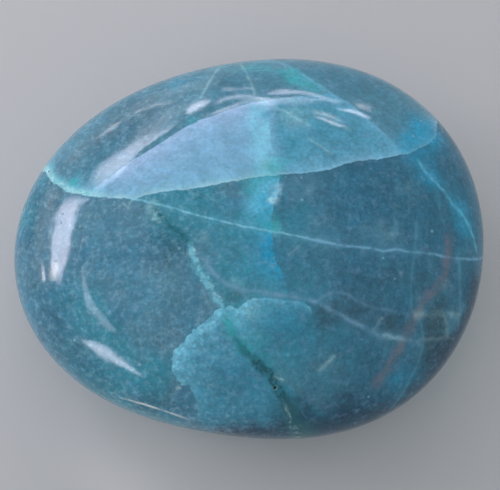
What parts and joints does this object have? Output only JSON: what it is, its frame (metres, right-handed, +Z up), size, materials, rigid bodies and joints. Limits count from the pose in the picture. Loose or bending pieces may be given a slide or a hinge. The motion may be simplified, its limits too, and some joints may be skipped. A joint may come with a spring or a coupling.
{
  "type": "polished chrysocolla palm stone",
  "caption": "Smooth hand-polished pebble of blue-green chrysocolla grown through with quartz, with softly flattened shoulders and a small flat underneath to rest on.",
  "frame": {"origin": "on the resting surface, under the middle of the stone's bounding box", "axes": "+Z up, +X along the stone's length, towards the blunter end with the smoky window"},
  "size_m": [0.065, 0.0544, 0.0235],
  "materials": {
    "chrysocolla": "high polish over translucent blue-green stone with pale healed fractures and a green vein"
  },
  "bodies": {
    "root": {"palm_stone": "chrysocolla"}
  },
  "joints": []
}
